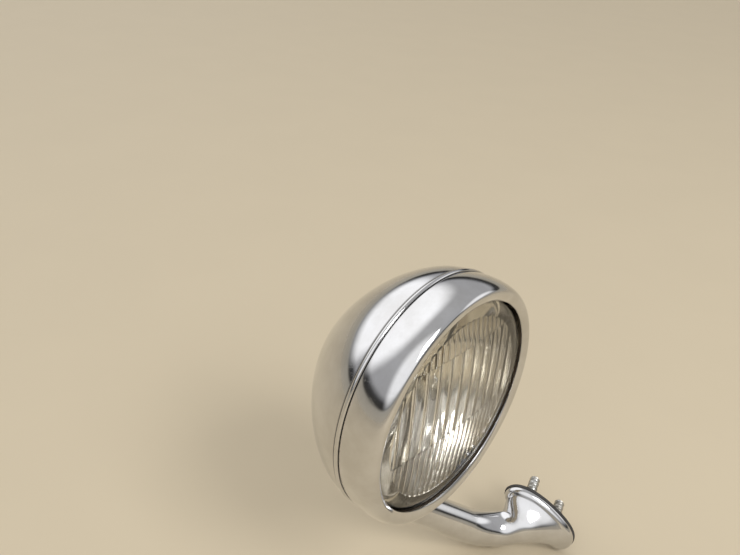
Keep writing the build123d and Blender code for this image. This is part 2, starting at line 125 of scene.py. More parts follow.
# Swivel, in the lamp's frame
STUD_X = -25.0038
STUD_HOLE = 5.1
SADDLE_BASE = -53.874
SADDLE_TALLEST = 26.0
SADDLE_GROWTH = 2.75 / 7.5
SADDLE_RADIUS = 11.0
SADDLE_GAP = 0.1  # between the saddle's top and the bowl
SADDLE_BEVEL = 0.3  # round its foot
SADDLE_HOLE_BEVEL = 0.2  # round the stud's hole in its foot
SADDLE_ROWS = 14  # rings up its side
SADDLE_TOP_ROWS = 8  # rings over its top to the hole
HALVINGS = 30

# Arm and foot, in the car's frame
ARM_TOP = np.array((-81.476, -62.275, 59.12))
HEEL = np.array((-2.9, 0.0, -4.9))
ARM_REACH = hypot(ARM_TOP[0] - HEEL[0], ARM_TOP[1])
TOWARDS = np.array(((ARM_TOP[0] - HEEL[0]) / ARM_REACH, ARM_TOP[1] / ARM_REACH, 0.0))
ASIDE = np.array((-TOWARDS[1], TOWARDS[0], 0.0))
ARM_SLOPE = radians(32.5)
ARM_RISE = radians(10.81)
KNEE_RADIUS = 56.0
BEND_RADIUS = 38.0
ROOT_STRAIGHT = 0.47
TOP_STRAIGHT = 1.2
KNEE_HEIGHT = 0.4
ROOT_RADIUS = 10.0
TOP_RADIUS = 8.25
TAPER = 0.75  # power of the length by which the arm tapers
ARM_ROWS = 90
DROOP = radians(33)
DROOPING = np.array((cos(DROOP), 0, -sin(DROOP)))

# The leaf: half lengths front, back, up and down, and how blunt it is at the front and back
FLANGE = ((22.8, 24.2, 12.6, 9.4), (0.78, 0.68))
# Its edge and face, as (distance from the body side, growth)
FLANGE_EDGE = ((-2.0, -0.35), (-2.08, -0.1), (-2.3, 0), (-2.9, -0.05), (-3.6, -0.25), (-4.25, -0.65),
               (-4.8, -1.2), (-5.25, -1.9))
FLANGE_FACE = (-5.6, -2.7)
PAD = 2.0
PAD_EDGE = ((0, -0.1), (-0.12, 0.25), (-0.45, 0.45), (-1.0, 0.5), (-1.55, 0.45), (-1.88, 0.25), (-PAD, -0.1))
# Two more outlines between the face and the arm, with their middle and their turn in degrees
FLARE = ((((15.5, 18.5, 9.0, 4.6), (0.58, 0.58)), (-3.9, -8.0, 0.1), 8),
         (((9.5, 11.5, 9.2, 6.4), (0.58, 0.58)), (-10.1, -13.0, -2.3), 30))
FLARE_ROWS = (16, 16, 22, 0)  # rings from each outline to the next, the last for the slope alone
THROAT_EASING = 45  # rounds by which the throat is eased
# The arm's top and the stud's socket in it, as (radius, height)
ARM_SOCKET = ((TOP_RADIUS, -0.35), (8.15, -0.1), (7.9, 0), (5.4, 0), (STUD_HOLE, -0.3), (STUD_HOLE, -11.9),
              (4.9, -12.0), (3.6, -12.0), (3.5, -12.2))
# The way for the wires: its radius, its start, the arm's rows it follows, its last places and headings
WAY_RADIUS = 3.5
WAY_START = -14.0
WAY_ROWS = slice(12, 78, 3)
WAY_MOUTH = ((-7.0, -10.8, -1.0), (-3.0, -9.4, -0.3), (-0.8, -8.0, 0), (0, -6.0, 0))
WAY_HEADINGS = ((-0.8, -0.55, -0.15), (-0.66, -0.74, -0.1), (-0.3, -0.95, 0), (0, -1.0, 0))
# The grommet's seat, and the grommet, as (distance from the body side, radius)
GROMMET_SEAT = ((-5.5, 3.6), (-5.5, 4.6), (-2.1, 4.6), (-2.0, 4.75))
GROMMET = ((0.0, 3.0), (0.0, 4.5), (-5.5, 4.5), (-5.5, 3.0))
GROMMET_HOLE = 4.6
# A foot stud, as (place along it, radius, depth of its thread)
STUD = ((-6.3, 3.1, 0), (-6.2, 3.5, 0), (-0.02, 3.5, 0), (0.0, 3.0, 0), (1.5, 3.0, 0), (2.2, 3.0, 0.58),
        (21.2, 3.0, 0.58), (22.0, 2.4, 0))
STUD_ROWS = 300
STUD_RING = 48
THREAD_CREST = 1.35  # over 1, the thread's crests and roots are flat
STUD_PLACES = ((-8.387, 5.446), (8.387, -5.446))

# Studio, in metres; the sky is (height, colour)
SKY = ((0.0, (0.50, 0.45, 0.36)), (0.15, (0.42, 0.39, 0.33)), (0.19, (0.04, 0.038, 0.035)),
       (0.27, (0.05, 0.05, 0.05)), (0.36, (0.47, 0.47, 0.48)), (1.0, (0.54, 0.54, 0.54)))
# A window is (middle, cosine at its edge, cosine where it is full, strength)
WINDOWS = (((-0.72, 0.27, 0.64), 0.70, 0.88, 0.90), ((0.35, -0.75, 0.56), 0.72, 0.90, 0.70),
           ((0.745, 0.59, 0.31), 0.925, 0.985, 0.80))
WINDOW_FOOT = (0.12, 0.30)  # heights between which the windows come in
KEY_PLACE = np.array((1.25, -0.75, 1.6))
KEY_AIM = np.array((-0.06, -0.06, 0.1))
KEY_SIZE = 0.75
FLOOR_SPAN = (0.05, 40.0)
FLOOR_RINGS = 24
CAMERA_LENS = 36.486
CAMERA_SENSOR = 36.0
CAMERA_PLACE = (0.01016, -0.33243, 0.31375)
CAMERA_AXES = ((0.91361, 0.39760, 0.08513), (-0.25979, 0.40971, 0.87444), (0.31279, -0.82102, 0.47760))


# Curves and grids

def circle(count):
    """Equal angles once round."""
    return np.arange(count) * 2 * pi / count


def together(*parts):
    """Coordinates brought to one shape and put side by side as points."""
    return np.stack(np.broadcast_arrays(*parts), -1)


def unit(vectors):
    """Vectors over their own lengths."""
    return vectors / np.linalg.norm(vectors, axis=-1, keepdims=True)


def curve(points, count):
    """A four-point curve: its controls weighted by (1-t)^3, 3t(1-t)^2, 3t^2(1-t) and t^3."""
    t = np.linspace(0, 1, count)[:, None]
    p = np.asarray(points, float)
    return (1 - t) ** 3 * p[0] + 3 * t * (1 - t) ** 2 * p[1] + 3 * t ** 2 * (1 - t) * p[2] + t ** 3 * p[3]


def arc(start, middle, end, count):
    """The circle through three points, walked from the first by way of the second to the third."""
    a, b, c = (complex(*p) for p in (start, middle, end))
    w = (c - a) / (b - a)
    centre = (b - a) * (w - abs(w) ** 2) / (2j * w.imag) + a
    first = np.angle(a - centre)
    half = np.angle((b - centre) / (a - centre))
    rest = np.angle((c - centre) / (b - centre))
    turn = first + np.linspace(0, half + rest, count)
    radius = abs(a - centre)
    return together(centre.real + radius * np.cos(turn), centre.imag + radius * np.sin(turn))


def softened(corners, reach, count=5):
    """A polygon's corners cut back by a reach and rounded by a curve towards each corner.

    A corner becomes the weighted mean of the two cut points and the corner itself, with
    weights (1-t)^2, 2t(1-t) and t^2.
    """
    p = np.asarray(corners, float)
    start = p + unit(np.roll(p, 1, 0) - p) * reach
    end = p + unit(np.roll(p, -1, 0) - p) * reach
    t = np.linspace(0, 1, count)[None, :, None]
    bend = (1 - t) ** 2 * start[:, None] + 2 * t * (1 - t) * p[:, None] + t ** 2 * end[:, None]
    return bend.reshape(-1, 2)


def joined(*pieces):
    """Profile pieces end to end, without the points that two neighbours share."""
    rows = np.concatenate([np.asarray(piece, float) for piece in pieces])
    keep = np.ones(len(rows), bool)
    keep[1:] = np.linalg.norm(np.diff(rows, axis=0), axis=1) > 1e-5
    return rows[keep]


def turned(profile, angles):
    """A profile (x, r) turned about the optical axis: (x, r cos a, r sin a)."""
    x, r = profile[:, :1], profile[:, 1:]
    return together(x, r * np.cos(angles), r * np.sin(angles))


def lamp_to_car(points):
    """Millimetres in the lamp's frame to metres in the car's: a turn by the aim, then the seam's place."""
    c, s = cos(AIM), sin(AIM)
    return (points @ np.array(((c, -s, 0), (s, c, 0), (0, 0, 1))) + SEAM) * MM


def quads(rows, columns, loop, first=0):
    """Corner numbers of every cell between neighbouring rows and columns; columns always close."""
    i, j = np.meshgrid(np.arange(rows if loop else rows - 1), np.arange(columns), indexing="ij")
    i2, j2 = (i + 1) % rows, (j + 1) % columns
    cells = together(i * columns + j, i * columns + j2, i2 * columns + j2, i2 * columns + j)
    return cells.reshape(-1, 4) + first


def fan(ring, tip, flip):
    """Triangles from a ring of corner numbers to one tip."""
    after = np.roll(ring, -1)
    return together(after, ring, tip) if flip else together(ring, after, tip)


def sheet_of(grid, loop):
    """Points, quads and triangles of a grid. One that isn't a loop is closed by a pole at each end."""
    rows, columns = grid.shape[:2]
    points = grid.reshape(-1, 3)
    faces = quads(rows, columns, loop)
    if loop:
        return points, faces, np.empty((0, 3), int)
    points = np.concatenate((points, np.stack((grid[0].mean(0), grid[-1].mean(0)))))
    last = (rows - 1) * columns
    triangles = np.concatenate((
        fan(np.arange(columns), last + columns, True),
        fan(np.arange(last, last + columns), last + columns + 1, False)))
    return points, faces, triangles


def volume_of(points, faces, triangles):
    """Six times the volume: the sum over all triangles of a . (b x c)."""
    cut = np.concatenate((faces[:, [0, 1, 2]], faces[:, [0, 2, 3]], triangles))
    a, b, c = points[cut[:, 0]], points[cut[:, 1]], points[cut[:, 2]]
    return np.einsum("ij,ij->i", a, np.cross(b, c)).sum()


def mesh_of(name, points, faces, triangles):
    """A mesh from whole arrays of points, quads and triangles."""
    mesh = bpy.data.meshes.new(name)
    mesh.from_pydata(points, [], faces.tolist() + triangles.tolist())
    return mesh


def new_object(name, data):
    """An object with the given mesh, light or camera, in the scene."""
    made = bpy.data.objects.new(name, data)
    bpy.context.scene.collection.objects.link(made)
    return made


def finish_piece(mesh, finish, body, slot, replaces, merge=0.0, crease=32):
    """Weld, shade smooth up to a crease angle, link, dress and hang the piece on its body."""
    if merge:
        work = bmesh.new()
        work.from_mesh(mesh)
        bmesh.ops.remove_doubles(work, verts=work.verts, dist=merge)
        bmesh.ops.dissolve_degenerate(work, edges=work.edges, dist=merge)
        bmesh.ops.recalc_face_normals(work, faces=work.faces)
        work.to_mesh(mesh)
        work.free()
    mesh.shade_smooth()
    mesh.set_sharp_from_angle(angle=radians(crease))
    mesh.materials.append(FINISHES[finish])
    piece = new_object(mesh.name, mesh)
    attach(piece, body)
    if replaces:
        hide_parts(*replaces)


def add_piece(name, grids, finish, body, slot, replaces=(), recess=None, loop=True, **how):
    """Put closed grids of metres into one mesh, faces outward, and finish it.

    recess is a number for each point, 0 where the surface is open and 1 in recesses and joints, which the
    plating darkens with grime and painted shade.
    """
    points, faces, triangles, start = [], [], [], 0
    for grid in grids:
        p, f, t = sheet_of(grid, loop)
        if volume_of(p - p.mean(0), f, t) < 0:
            f, t = f[:, ::-1], t[:, ::-1]
        points.append(p)
        faces.append(f + start)
        triangles.append(t + start)
        start += len(p)
    mesh = mesh_of(name, np.concatenate(points), np.concatenate(faces), np.concatenate(triangles))
    if recess is not None:
        values = np.zeros(len(mesh.vertices), np.float32)
        values[:recess.size] = recess.ravel()
        mesh.attributes.new("recess", "FLOAT", "POINT").data.foreach_set("value", values)
    finish_piece(mesh, finish, body, slot, replaces, **how)


def add_turned(name, profile, finish, body, slot, node, grime_and_shade=None, steps=TURNS, **how):
    """Turn a closed profile about the optical axis; its grime and painted shade are the same all the way
    round.
    """
    recess = None if grime_and_shade is None else np.repeat(grime_and_shade[:, None], steps, 1)
    add_piece(name, [lamp_to_car(turned(profile, circle(steps)))], finish, body, slot, (node,), recess, **how)


def dress_node(name, finish):
    """Give a node that stays as it is a finish in its own slots."""
    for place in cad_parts[name].material_slots:
        place.material = FINISHES[finish]


# Shapes

def bowl(depth, radius, front, count):
    """The shell's quarter curve from the pole to its front edge."""
    swell, reach = SHELL_FULLNESS * radius, SHELL_FULLNESS * (depth + front)
    return curve(((-depth, 0), (-depth, swell), (front - reach, radius), (front, radius)), count)


def near(profile, places, width):
    """Grime and painted shade along a profile: the bell exp(-(distance / width)^2) about each given place."""
    gaps = np.linalg.norm(profile[:, None] - np.asarray(places, float)[None], axis=2)
    return np.exp(-(gaps / width) ** 2).max(1)


def shell_profile():
    """Bowl, rolled lip, neck, and back along the inside of the sheet to the pole."""
    outer = bowl(SHELL_DEPTH, SEAM_RADIUS, LIP_BACK, 110)
    outer[0, 1] = POLE
    lip = arc((LIP_BACK, SEAM_RADIUS), (LIP_BACK / 2, SEAM_RADIUS + LIP_BULGE), (0, SEAM_RADIUS), 15)
    inside = NECK_RADIUS - SHEET
    neck = ((0, NECK_RADIUS), (NECK_END - NECK_SOFT, NECK_RADIUS), (NECK_END, NECK_RADIUS - NECK_SOFT),
            (NECK_END, inside + NECK_SOFT), (NECK_END - NECK_SOFT, inside),
            (NECK_ROOT, inside), (NECK_ROOT, SEAM_RADIUS - 1.5 * SHEET))
    inner = bowl(SHELL_DEPTH - SHEET, SEAM_RADIUS - SHEET, LIP_BACK, 60)[::-1]
    inner = inner[inner[:, 0] < NECK_ROOT]
    inner[-1, 1] = POLE
    return joined(outer, lip, neck, inner)


def rim_profile(lip_round):
    """The pressed ring's outer curve, its rolled edge, and its inner curve back to the seam."""
    outer, inner = curve(RIM_OUTER, 90), curve(RIM_INNER, 60)[::-1]
    mouth, mouth_in = outer[-1], inner[0]
    across = mouth_in - mouth
    nose = (mouth + mouth_in) / 2 + lip_round * np.array((-across[1], across[0]))
    return joined(outer, arc(mouth, nose, mouth_in, 13), inner)


def dome(radius, back):
    """Place along the axis of the dome, or of the sphere that lies a distance behind it."""
    return DOME_CENTRE + np.sqrt((DOME_RADIUS - back) ** 2 - radius ** 2)


def scallop(across, pitch, depth):
    """A flute's rib: the height of a circle's arc over a chord of one pitch."""
    u = (np.mod(across / pitch + 0.5, 1.0) - 0.5) * pitch
    bend = (pitch ** 2 / 4 + depth ** 2) / (2 * depth)
    return np.sqrt(bend ** 2 - u ** 2) - (bend - depth)


def flute_columns(pitch):
    """Places across the field: even steps of a flute, and more where its round edge turns upright."""
    step = pitch / FLUTE_STEPS
    last = int(FIELD_EDGE / step)
    ends = FIELD_EDGE * np.cos(np.radians(np.arange(0, 19, 2)))
    columns = np.unique(np.concatenate((np.arange(-last, last + 1) * step, ends, -ends)).round(3))
    columns = columns[np.concatenate(([True], np.diff(columns) > 0.02))]
    columns[0], columns[-1] = -FIELD_EDGE, FIELD_EDGE
    return columns


def lens_field(shapes):
    """The fluted field, a grid of upright columns.

    Column y reaches from -h to h, where h is the root of E^2 - y^2 with E the field's edge,
    and its rows leave a narrow gap at the two heights where the flutes change. Each point lies
    behind the dome by the wall, its band's step and its band's ribs.
    """
    fine = (shapes.fine_pitch / MM, shapes.fine_depth / MM, FIELD_STEP)
    wide = (shapes.wide_pitch / MM, shapes.wide_depth / MM, FIELD_STEP + WIDE_STEP)
    columns = flute_columns(fine[0])
    height = np.sqrt(np.maximum(FIELD_EDGE ** 2 - columns ** 2, 0))
    lower, upper = BANDS
    rows, lifts = [], []
    bands = ((-FIELD_EDGE, lower - BAND_GAP, fine), (lower + BAND_GAP, upper - BAND_GAP, wide),
             (upper + BAND_GAP, FIELD_EDGE, fine))
    for (low, high, (pitch, depth, step)), count in zip(bands, BAND_ROWS):
        share = np.linspace(0, 1, count)[:, None]
        low, high = np.clip(low, -height, height), np.clip(high, -height, height)
        rows.append(low + (high - low) * share)
        lifts.append(np.broadcast_to(step + scallop(columns, pitch, depth), rows[-1].shape))
    z, lift = np.concatenate(rows), np.concatenate(lifts)
    return together(dome(np.hypot(columns, z), GLASS_WALL + lift), columns, z)


def lens_mesh(shapes):
    """The fluted field, and the rest of the glass turned about the axis at the angles of the field's edge."""
    field = lens_field(shapes)
    ring = np.concatenate((field[0, :-1], field[-1, :0:-1]))
    around = turned(lens_profile(), np.arctan2(ring[:, 2], ring[:, 1]))
    around = np.concatenate((around, ring[None]))
    rows, columns = around.shape[:2]
    points = np.concatenate((around.reshape(-1, 3), field.reshape(-1, 3), ((float(dome(0, 0)), 0, 0),)))
    field_rows, field_columns = field.shape[:2]
    cells = quads(field_rows, field_columns, False, rows * columns).reshape(field_rows - 1, field_columns, 4)
    faces = np.concatenate((quads(rows, columns, False), cells[:, :-1, ::-1].reshape(-1, 4)))
    return mesh_of("lens_glass", lamp_to_car(points), faces, fan(np.arange(columns), len(points) - 1, True))


def lens_profile():
    """Domed front, a shallow groove, the sloping margin with its bead, the seat and the edge."""
    radii = np.concatenate((np.linspace(0.05, FIELD_RADIUS - 0.8, 26),
                            np.linspace(FIELD_RADIUS - 0.6, FIELD_RADIUS, 4)))
    front = together(dome(radii, 0), radii)
    margin = arc((FIELD_X, FIELD_RADIUS), MARGIN_MIDDLE, (GLASS_SEAT, MOUTH_RADIUS + 0.4), 26)
    edge = ((GLASS_SEAT, GLASS_RADIUS - 0.5), (GLASS_SEAT - 0.15, GLASS_RADIUS - 0.15),
            (GLASS_SEAT - 0.5, GLASS_RADIUS), (GLASS_BACK + 0.5, GLASS_RADIUS),
            (GLASS_BACK + 0.15, GLASS_RADIUS - 0.15), (GLASS_BACK, GLASS_RADIUS - 0.5))
    back = np.linspace((GLASS_BACK, MOUTH_RADIUS), (float(dome(FIELD_RADIUS, GLASS_WALL)), FIELD_RADIUS), 10)
    return joined(front, margin, edge, back)


def reflector_profile():
    """Inside of the paraboloid x = v + r^2 / 4f, the flange's edge, and the outside back to the hole."""
    focal = REFLECTOR_MOUTH ** 2 / 4 / (NECK_END - VERTEX)
    back, front, corner = NECK_END, NECK_END + REFLECTOR_SHEET, REFLECTOR_MOUTH
    r = np.linspace(REFLECTOR_HOLE, corner - 0.25, 70)
    inside = together(VERTEX + r ** 2 / 4 / focal, r)
    flange = ((front - 0.35, corner - 0.1), (front - 0.08, corner + 0.4), (front, corner + 1.0),
              (front, REFLECTOR_FLANGE - 0.3), ((front + back) / 2, REFLECTOR_FLANGE),
              (back, REFLECTOR_FLANGE - 0.3), (back, corner + 0.9))
    r = np.linspace(corner + 0.3, REFLECTOR_HOLE, 50)
    outside = together(VERTEX - REFLECTOR_SHEET + r ** 2 / 4 / focal, r)
    return joined(inside, flange, outside)


def bulb_profile():
    """Pear-shaped envelope: a sphere down to the waist, then a cone, and the same again inside."""
    turn = np.linspace(0.004, BULB_WAIST, 50)
    ball = together(np.cos(turn), np.sin(turn))
    outer, inner = (BULB_X, 0) + BULB_RADIUS * ball, (BULB_X, 0) + (BULB_RADIUS - BULB_WALL) * ball
    base = np.array(((BULB_BASE + 0.6, BULB_NECK + 0.15), (BULB_BASE, BULB_NECK)))
    return joined(outer, base, base[::-1] - (0, BULB_WALL), inner[::-1])


def wire_rows(line, radius, steps):
    """A round wire along a line: circles on the side and up directions across its tangent."""
    tangents = unit(np.gradient(line, axis=0))
    side = unit(np.cross(tangents, np.array((0.3, 0.2, 1.0))))
    up = np.cross(tangents, side)
    a = circle(steps)[None, :, None]
    return line[:, None] + radius * (side[:, None] * np.cos(a) + up[:, None] * np.sin(a))


def filament_rows():
    """A helix (x + r cos a, y, r sin a) across the bulb, and a curved leg down to the base at each end."""
    t = np.linspace(0, 1, 361)
    a = 2 * pi * COIL_TURNS * t
    coil = together(BULB_X + COIL_RADIUS * np.cos(a), COIL_END * (2 * t - 1), COIL_RADIUS * np.sin(a))
    wires = [wire_rows(coil, COIL_WIRE, 8)]
    s = np.linspace(0, 1, 24)[:, None]
    for side in (-1, 1):
        foot, knee, top = np.array(((BULB_BASE + 0.4, 1.3 * side, 0), (BULB_X - 6, 1.9 * side, 0),
                                    (BULB_X + COIL_RADIUS, COIL_END * side, 0)))
        wires.append(wire_rows((1 - s) ** 2 * foot + 2 * s * (1 - s) * knee + s ** 2 * top, LEG_WIRE, 10))
    return [lamp_to_car(wire) for wire in wires]


def way_along(headings, lengths, start, count):
    """A line in a plane whose heading turns evenly along each bend.

    Its place is the running sum of (cos heading, sin heading) over small equal steps.
    """
    ends = np.concatenate(([0.0], np.cumsum(lengths)))
    s = np.linspace(0, ends[-1], 4001)
    heading = np.interp(s, ends, headings)
    ds = s[1] - s[0]
    middle = (heading[1:] + heading[:-1]) / 2
    across = np.concatenate(([0.0], np.cumsum(np.cos(middle)) * ds)) + start[0]
    up = np.concatenate(([0.0], np.cumsum(np.sin(middle)) * ds)) + start[1]
    pick = np.linspace(0, ends[-1], count)
    return np.interp(pick, s, across), np.interp(pick, s, up), np.interp(pick, s, heading), pick / ends[-1]


def arm_line(count):
    """The arm's centre line: places, headings and shares of its length, from the foot to the lamp."""
    bend = BEND_RADIUS * tan((pi / 2 - ARM_SLOPE) / 2)
    elbow = ARM_TOP[2] - HEEL[2] - bend - TOP_STRAIGHT
    knee = ARM_REACH - (elbow - KNEE_HEIGHT) / tan(ARM_SLOPE)
    level = KNEE_RADIUS * tan((ARM_SLOPE - ARM_RISE) / 2)
    start = (knee - (level + ROOT_STRAIGHT) * cos(ARM_RISE),
             KNEE_HEIGHT - (level + ROOT_STRAIGHT) * sin(ARM_RISE))
    slant = hypot(ARM_REACH - knee, elbow - KNEE_HEIGHT) - level - bend
    lengths = (ROOT_STRAIGHT, KNEE_RADIUS * (ARM_SLOPE - ARM_RISE), slant,
               BEND_RADIUS * (pi / 2 - ARM_SLOPE), TOP_STRAIGHT)
    headings = (ARM_RISE, ARM_RISE, ARM_SLOPE, ARM_SLOPE, pi / 2, pi / 2)
    across, up, heading, share = way_along(headings, lengths, start, count)
    return HEEL + across[:, None] * TOWARDS + up[:, None] * UPRIGHT, heading, share


def ring_frames(tangents, lean):
    """Two axes across each tangent: the arm's side direction made square to it, turned by a lean."""
    side = unit(ASIDE - (tangents @ ASIDE)[:, None] * tangents)
    up = np.cross(tangents, side)
    lean = np.broadcast_to(lean, len(tangents))[:, None]
    first = np.cos(lean) * side + np.sin(lean) * up
    return first, np.cross(tangents, first)


def round_rows(places, tangents, radii, lean):
    """Circles across a line: place + r (first cos a + second sin a)."""
    tangents = np.broadcast_to(tangents, (len(places), 3))
    first, second = ring_frames(tangents, lean)
    a = circle(RING)[None, :, None]
    radii = np.broadcast_to(radii, len(places))[:, None, None]
    return places[:, None] + radii * (first[:, None] * np.cos(a) + second[:, None] * np.sin(a))


def oval(outline, blunt, grow=0.0):
    """A closed outline of four curves from its half lengths front, back, up and down."""
    front, back, up, down = (half + grow for half in outline)
    k = 0.5523  # with which four curves are nearly a circle
    quarters = (
        ((front, 0), (front, up * blunt[0]), (front * k, up), (0, up)),
        ((0, up), (-back * k, up), (-back, up * blunt[1]), (-back, 0)),
        ((-back, 0), (-back, -down * blunt[1]), (-back * k, -down), (0, -down)),
        ((0, -down), (front * k, -down), (front, -down * blunt[0]), (front, 0)))
    return np.concatenate([curve(q, RING // 4 + 1)[:-1] for q in quarters])


def on_plane(flat, origin, normal):
    """A flat outline put on the plane across a normal, its first axis drooping forward."""
    normal = unit(normal)
    first = unit(DROOPING - normal * (DROOPING @ normal))
    return origin + flat[:, :1] * first + flat[:, 1:] * np.cross(normal, first)


def leaf(y, grow=0.0):
    """The foot's leaf-shaped outline at a distance from the body side."""
    return on_plane(oval(*FLANGE, grow), np.array((0, y, 0)), OUTWARD)


def flowing(rows, counts):
    """Rows joined by curves that pass through all of them.

    Between rows i and i+1 each point follows the cubic through both with slopes from the
    parabola of three neighbouring rows, over the mean distance between the rows.
    """
    rows = np.asarray(rows)
    gaps = np.linalg.norm(np.diff(rows, axis=0), axis=2).mean(1)
    steps = np.diff(rows, axis=0) / gaps[:, None, None]
    slopes = np.empty_like(rows)
    weight = (gaps[:-1] / (gaps[:-1] + gaps[1:]))[:, None, None]
    slopes[1:-1] = steps[:-1] * (1 - weight) + steps[1:] * weight
    slopes[0] = 2 * steps[0] - slopes[1]
    slopes[-1] = 2 * steps[-1] - slopes[-2]
    made = []
    for i, count in enumerate(counts):
        t = np.linspace(0, 1, count, endpoint=False)[:, None, None]
        made.append((2 * t ** 3 - 3 * t ** 2 + 1) * rows[i] + (t ** 3 - 2 * t ** 2 + t) * gaps[i] * slopes[i]
                    + (3 * t ** 2 - 2 * t ** 3) * rows[i + 1] + (t ** 3 - t ** 2) * gaps[i] * slopes[i + 1])
    return np.concatenate(made)


def relaxed(rows, first, last, rounds):
    """Some rows eased, again and again, halfway towards the mean of their four neighbours."""
    rows = rows.copy()
    for _ in range(rounds):
        around = np.roll(rows, 1, 1) + np.roll(rows, -1, 1)
        mean = (around[first:last] + rows[first - 1:last - 1] + rows[first + 1:last + 1]) / 4
        rows[first:last] = (rows[first:last] + mean) / 2
    return rows


def arm_rows():
    """Flange, flare, tapering arm, the socket in its top and the way for the wires, as one loop of rings."""
    places, heading, share = arm_line(ARM_ROWS)
    tangents = np.cos(heading)[:, None] * TOWARDS + np.sin(heading)[:, None] * UPRIGHT
    side, up = ring_frames(tangents[:1], 0.0)
    lean = atan2(DROOPING @ up[0], DROOPING @ side[0])
    tube = round_rows(places, tangents, ROOT_RADIUS - (ROOT_RADIUS - TOP_RADIUS) * share ** TAPER, lean)

    edge = np.stack([leaf(*row) for row in FLANGE_EDGE])
    sections = [leaf(*FLANGE_FACE)]
    for shape, middle, degrees in FLARE:
        turn = radians(degrees)
        sections.append(on_plane(oval(*shape), np.array(middle), OUTWARD * cos(turn) + TOWARDS * sin(turn)))
    flare = flowing((*sections, tube[0], tube[6]), FLARE_ROWS)

    radii, heights = np.array(ARM_SOCKET).T
    socket = round_rows(ARM_TOP + heights[:, None] * UPRIGHT, UPRIGHT, radii, lean)
    way = np.concatenate((ARM_TOP[None] + WAY_START * UPRIGHT, places[::-1][WAY_ROWS], WAY_MOUTH))
    aims = np.concatenate((UPRIGHT[None], tangents[::-1][WAY_ROWS], unit(np.array(WAY_HEADINGS))))
    mouth = np.linspace(lean, -DROOP, len(WAY_MOUTH))
    inside = round_rows(way, aims, WAY_RADIUS, np.concatenate((np.full(len(way) - len(mouth), lean), mouth)))
    depths, radii = np.array(GROMMET_SEAT).T
    seat = round_rows(-depths[:, None] * OUTWARD, OUTWARD, radii, -DROOP)
    rows = np.concatenate((edge, flare, tube[:-1], socket, inside, seat))
    throat = len(edge) + len(flare)
    rows = relaxed(rows, len(edge) + 2, throat + 6, THROAT_EASING)

    # Grime and painted shade: the flange's edge against the body, the top round the saddle, and the way for
    # the wires.
    recess = np.zeros((len(rows), 1))
    recess[:4, 0] = (1.0, 0.9, 0.5, 0.15)
    recess[throat + ARM_ROWS - 2:, 0][:6] = (0.35, 0.7, 1.0, 1.0, 1.0, 1.0)
    recess[-len(inside) - len(seat):] = 1
    return rows * MM, np.repeat(recess, RING, 1)


def pad_rows():
    """The flange's outline grown a little, with a soft bulging edge, round the grommet's hole."""
    hole = unit(leaf(0)) * GROMMET_HOLE
    return np.stack([hole] + [leaf(*row) for row in PAD_EDGE] + [hole + PAD * OUTWARD]) * MM


def foot_stud_rows(x, z, pitch):
    """A shouldered stud: smooth where it is screwed into the foot, threaded beyond the panel.

    Its radius is less by the thread's depth times a rounded triangle wave, whose phase is the
    place along the stud over the pitch, less the share of a turn.
    """
    along, radii, depths = np.array(STUD).T
    y = np.interp(np.linspace(0, 1, STUD_ROWS), np.linspace(0, 1, len(along)), along)[:, None]
    a = circle(STUD_RING)
    phase = np.mod(y / pitch - a / (2 * pi), 1.0)
    wave = 0.5 + 0.5 * np.clip(THREAD_CREST * (1 - 4 * np.abs(phase - 0.5)), -1, 1)
    r = np.interp(y, along, radii) - np.interp(y, along, depths) * wave
    return together(x + r * np.cos(a), y, z + r * np.sin(a)) * MM


def saddle_rows():
    """A cone that meets the bowl: each side point rises until it lies on the bowl, found by halving.

    Its top follows the bowl, z = -sqrt(R(x)^2 - y^2), with R the bowl's radius at x.
    """
    profile = bowl(SHELL_DEPTH + SADDLE_GAP, SEAM_RADIUS + SADDLE_GAP, LIP_BACK + SADDLE_GAP, 400)
    a = circle(RING)

    def ring(r, z=None):
        """A ring of radius r at a height, or on the bowl."""
        x, y = STUD_X + r * np.cos(a), r * np.sin(a)
        if z is None:
            z = -np.sqrt(np.maximum(np.interp(x, *profile.T) ** 2 - y ** 2, 0))
        return together(x, y, z)

    def cone(z):
        """The cone's radius at a height."""
        return np.minimum(TOP_RADIUS + (z - SADDLE_BASE) * SADDLE_GROWTH, SADDLE_RADIUS)

    low, high = np.full(RING, SADDLE_BASE), np.full(RING, SADDLE_BASE + SADDLE_TALLEST)
    for _ in range(HALVINGS):
        middle = (low + high) / 2
        above = middle > ring(cone(middle))[:, 2]
        low, high = np.where(above, low, middle), np.where(above, middle, high)
    heights = [SADDLE_BASE + SADDLE_BEVEL * (1 - part) + (low - SADDLE_BASE) * part
               for part in np.linspace(0, 1, SADDLE_ROWS)]
    rows = [ring(cone(z), z) for z in heights]
    inward = np.linspace(0.05, 1, SADDLE_TOP_ROWS)
    rows += [ring(cone(low) + (STUD_HOLE - cone(low)) * part) for part in inward]
    rows.append(ring(STUD_HOLE, SADDLE_BASE + SADDLE_HOLE_BEVEL))
    rows.append(ring(STUD_HOLE + SADDLE_HOLE_BEVEL, SADDLE_BASE))
    rows.append(ring(TOP_RADIUS - SADDLE_BEVEL, SADDLE_BASE))
    # Grime and painted shade where the saddle meets the bowl and the arm, and round the stud's hole.
    recess = np.ones((len(rows), RING))
    recess[:SADDLE_ROWS] = 0
    recess[0] = 0.5
    recess[SADDLE_ROWS - 3:SADDLE_ROWS] = np.array((0.2, 0.5, 0.9))[:, None]
    return lamp_to_car(np.stack(rows)), recess


# Finishes

GROUPS = {}
FINISHES = {}


def feed(node, inputs):
    """Give a node's inputs their values, or the sockets that feed them."""
    for key, value in inputs.items():
        if isinstance(value, bpy.types.NodeSocket):
            node.id_data.links.new(value, node.inputs[key])
        else:
            node.inputs[key].default_value = value


